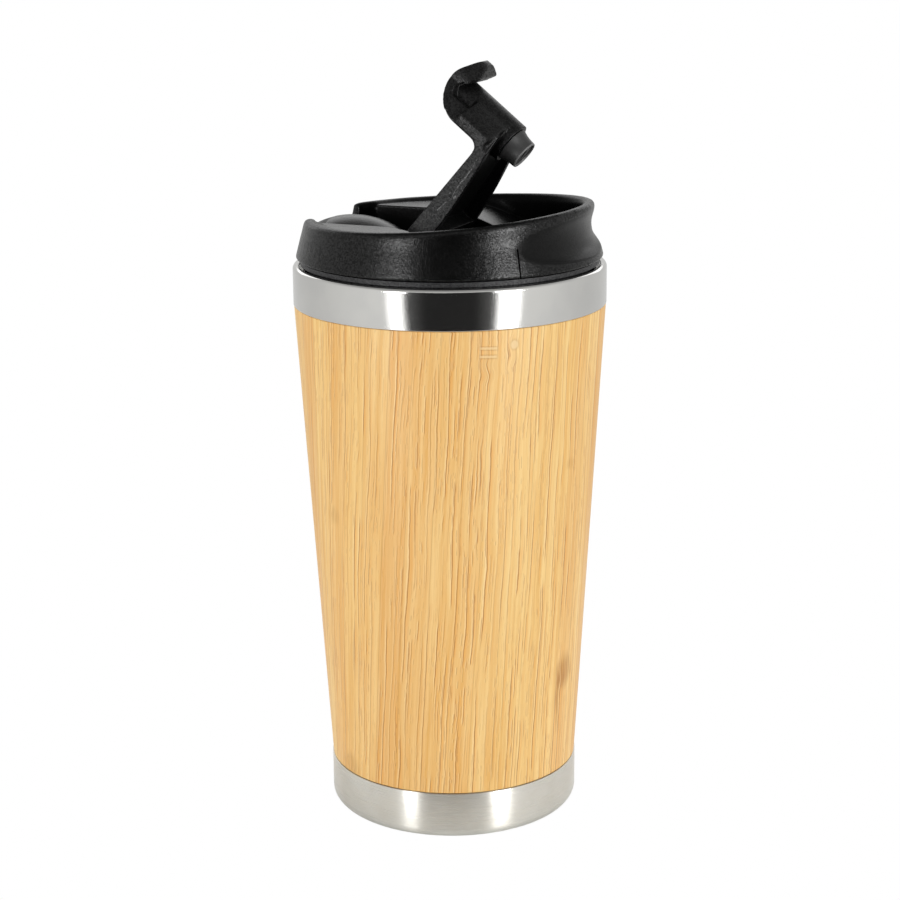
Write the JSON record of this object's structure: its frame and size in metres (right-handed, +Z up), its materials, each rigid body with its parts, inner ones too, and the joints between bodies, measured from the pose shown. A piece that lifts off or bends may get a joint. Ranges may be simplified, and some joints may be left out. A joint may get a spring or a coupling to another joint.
{
  "type": "travel cup",
  "caption": "Insulated travel cup with a tapered bamboo sleeve, steel collar and base, and a black lid with a hinged flip lever that stoppers the drinking hole.",
  "frame": {"origin": "middle of the base, on the surface the cup stands on", "axes": "+Z up along the cup's axis, +X towards the drinking side of the lid, hinge pin along Y"},
  "size_m": [0.088, 0.088, 0.2152],
  "materials": {
    "steel_base": "brushed",
    "steel_liner": "satin",
    "steel_collar": "polished",
    "steel_pin": "ground",
    "bamboo": "satin lacquer",
    "shell_plastic": "matt",
    "lid_plastic": "fine spark-eroded texture",
    "neck_plastic": "matt",
    "silicone": "matt",
    "pad": "matt"
  },
  "bodies": {
    "cup": {"base_cap": "steel_base", "foot_pad": "pad", "outer_shell": "shell_plastic", "base_ring": "shell_plastic", "bamboo_sleeve": "bamboo", "inner_cup": "steel_liner", "steel_collar": "steel_collar", "lip_seal": "silicone"},
    "lid": {"lid_shell": "lid_plastic", "neck_ring": "neck_plastic", "lid_gasket": "silicone", "hinge_pin": "steel_pin"},
    "lever": {"lever": "lid_plastic", "stopper": "silicone"}
  },
  "joints": [
    {"name": "lid_lift", "type": "slide", "parent": "cup", "child": "lid", "axis": [0, 0, 1], "range_m": [0, 0.04]},
    {"name": "lever_hinge", "type": "hinge", "parent": "lid", "child": "lever", "pos_m": [-0.0035, 0, 0.1674], "axis": [0, 1, 0], "range_deg": [-90, 51]}
  ]
}
